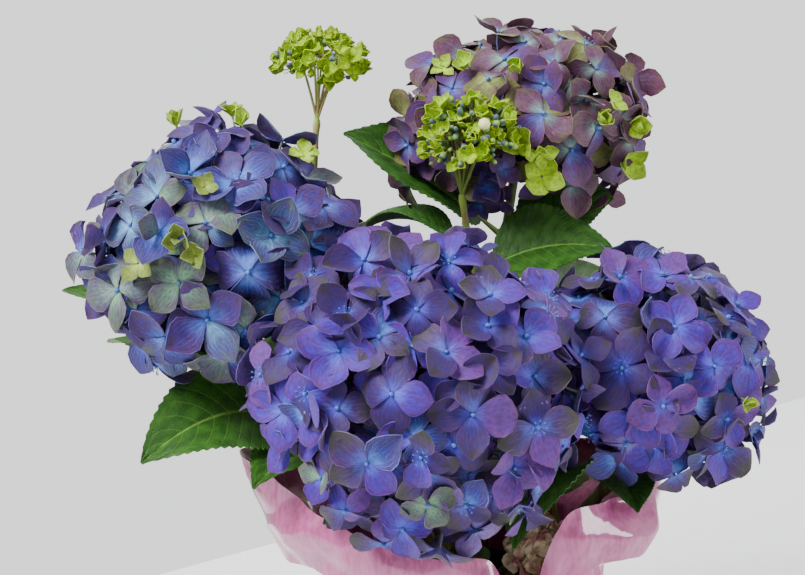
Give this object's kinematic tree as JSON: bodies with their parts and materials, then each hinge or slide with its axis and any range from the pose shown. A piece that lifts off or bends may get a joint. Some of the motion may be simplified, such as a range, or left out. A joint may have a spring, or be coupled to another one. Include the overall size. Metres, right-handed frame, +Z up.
{
  "type": "potted hydrangea",
  "caption": "Florist's hydrangea in a wrapped pot: woody crown, leafy canes, rounded violet-blue flower heads, young lime sprays.",
  "frame": {"origin": "centre of the pot's flat underside", "axes": "+Z up, +X to the right and +Y away from the viewer as pictured"},
  "size_m": [0.3903, 0.2954, 0.458],
  "materials": {
    "pot": "matt moulded dark grey",
    "compost": "damp fibrous peat compost",
    "wrap": "pink fibrous tissue under clear gloss film",
    "bark": "thin flaking tan bark",
    "cane": "smooth green stem with small lenticels",
    "leaf": "glossy dark green with sunk veins",
    "petal_violet": "matt violet-blue with pale veins",
    "petal_mauve": "matt mauve ageing to green",
    "petal_lime": "matt fresh lime green",
    "petal_withered": "dry papery brown",
    "floret_eye": "matt pale blue bead"
  },
  "bodies": {
    "root": {"pot": "pot", "soil": "compost", "paper_wrap": "wrap", "crown": "bark", "cane_front": "cane", "cane_left": "cane", "cane_right": "cane", "cane_top": "cane", "cane_back": "cane", "cane_bud": "cane", "cane_young": "cane", "cane_old": "cane", "leaf_01": "leaf", "leaf_02": "leaf", "leaf_03": "leaf", "leaf_04": "leaf", "leaf_05": "leaf", "leaf_06": "leaf", "leaf_07": "leaf", "leaf_08": "leaf", "leaf_09": "leaf", "leaf_10": "leaf", "leaf_11": "leaf", "leaf_12": "leaf", "leaf_13": "leaf", "leaf_14": "leaf", "leaf_15": "leaf", "leaf_16": "leaf", "leaf_17": "leaf", "leaf_18": "leaf", "leaf_19": "leaf", "leaf_20": "leaf", "leaf_21": "leaf", "leaf_22": "leaf", "leaf_23": "leaf", "leaf_24": "leaf", "leaf_25": "leaf", "leaf_26": "leaf", "head_front": "petal_violet", "head_left": "petal_violet", "head_right": "petal_violet", "head_back": "petal_violet", "head_top": "petal_mauve", "corymb_young": "petal_lime", "corymb_bud": "petal_lime", "withered_head": "petal_withered"}
  },
  "joints": []
}
